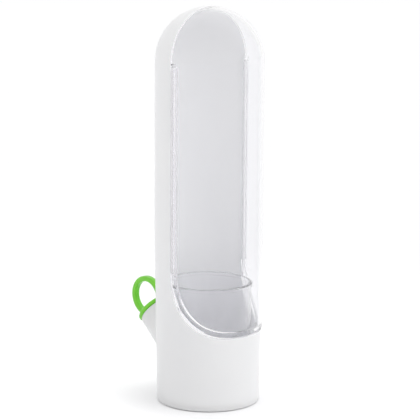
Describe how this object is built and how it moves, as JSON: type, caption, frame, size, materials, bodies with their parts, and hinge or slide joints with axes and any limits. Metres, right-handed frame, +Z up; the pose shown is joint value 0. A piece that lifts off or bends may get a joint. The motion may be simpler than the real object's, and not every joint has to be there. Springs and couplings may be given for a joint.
{
  "type": "herb keeper",
  "caption": "Upright capsule that keeps cut herbs in water: white back shell and cup, clear cover that slides up, inner basket, and a rear filler spout with a soft ring-pull plug.",
  "frame": {"origin": "on the tube's axis, in the plane of the foot ring that the keeper stands on", "axes": "+Z up along the tube, -Y out of the window, +Y towards the filler spout, +X to the right of someone who faces the spout's side from the window"},
  "size_m": [0.076, 0.1152, 0.279],
  "materials": {
    "white_shell": "satin gloss, white",
    "white_plate": "matte, white",
    "clear_cover": "polished, clear",
    "clear_basket": "clear with a light haze",
    "green_plug": "soft satin silicone, bright green"
  },
  "bodies": {
    "shell": {"back_shell": "white_shell", "base_plate": "white_plate"},
    "cover": {"front_cover": "clear_cover"},
    "basket": {"herb_basket": "clear_basket"},
    "plug": {"filler_plug": "green_plug"}
  },
  "joints": [
    {"name": "cover_slide", "type": "slide", "parent": "shell", "child": "cover", "axis": [0, 0, 1], "range_m": [0, 0.235]},
    {"name": "basket_lift", "type": "slide", "parent": "shell", "child": "basket", "axis": [0, 0, 1], "range_m": [0, 0.055]},
    {"name": "plug_pull", "type": "slide", "parent": "shell", "child": "plug", "axis": [0, 0.766, 0.6428], "range_m": [0, 0.03]}
  ]
}
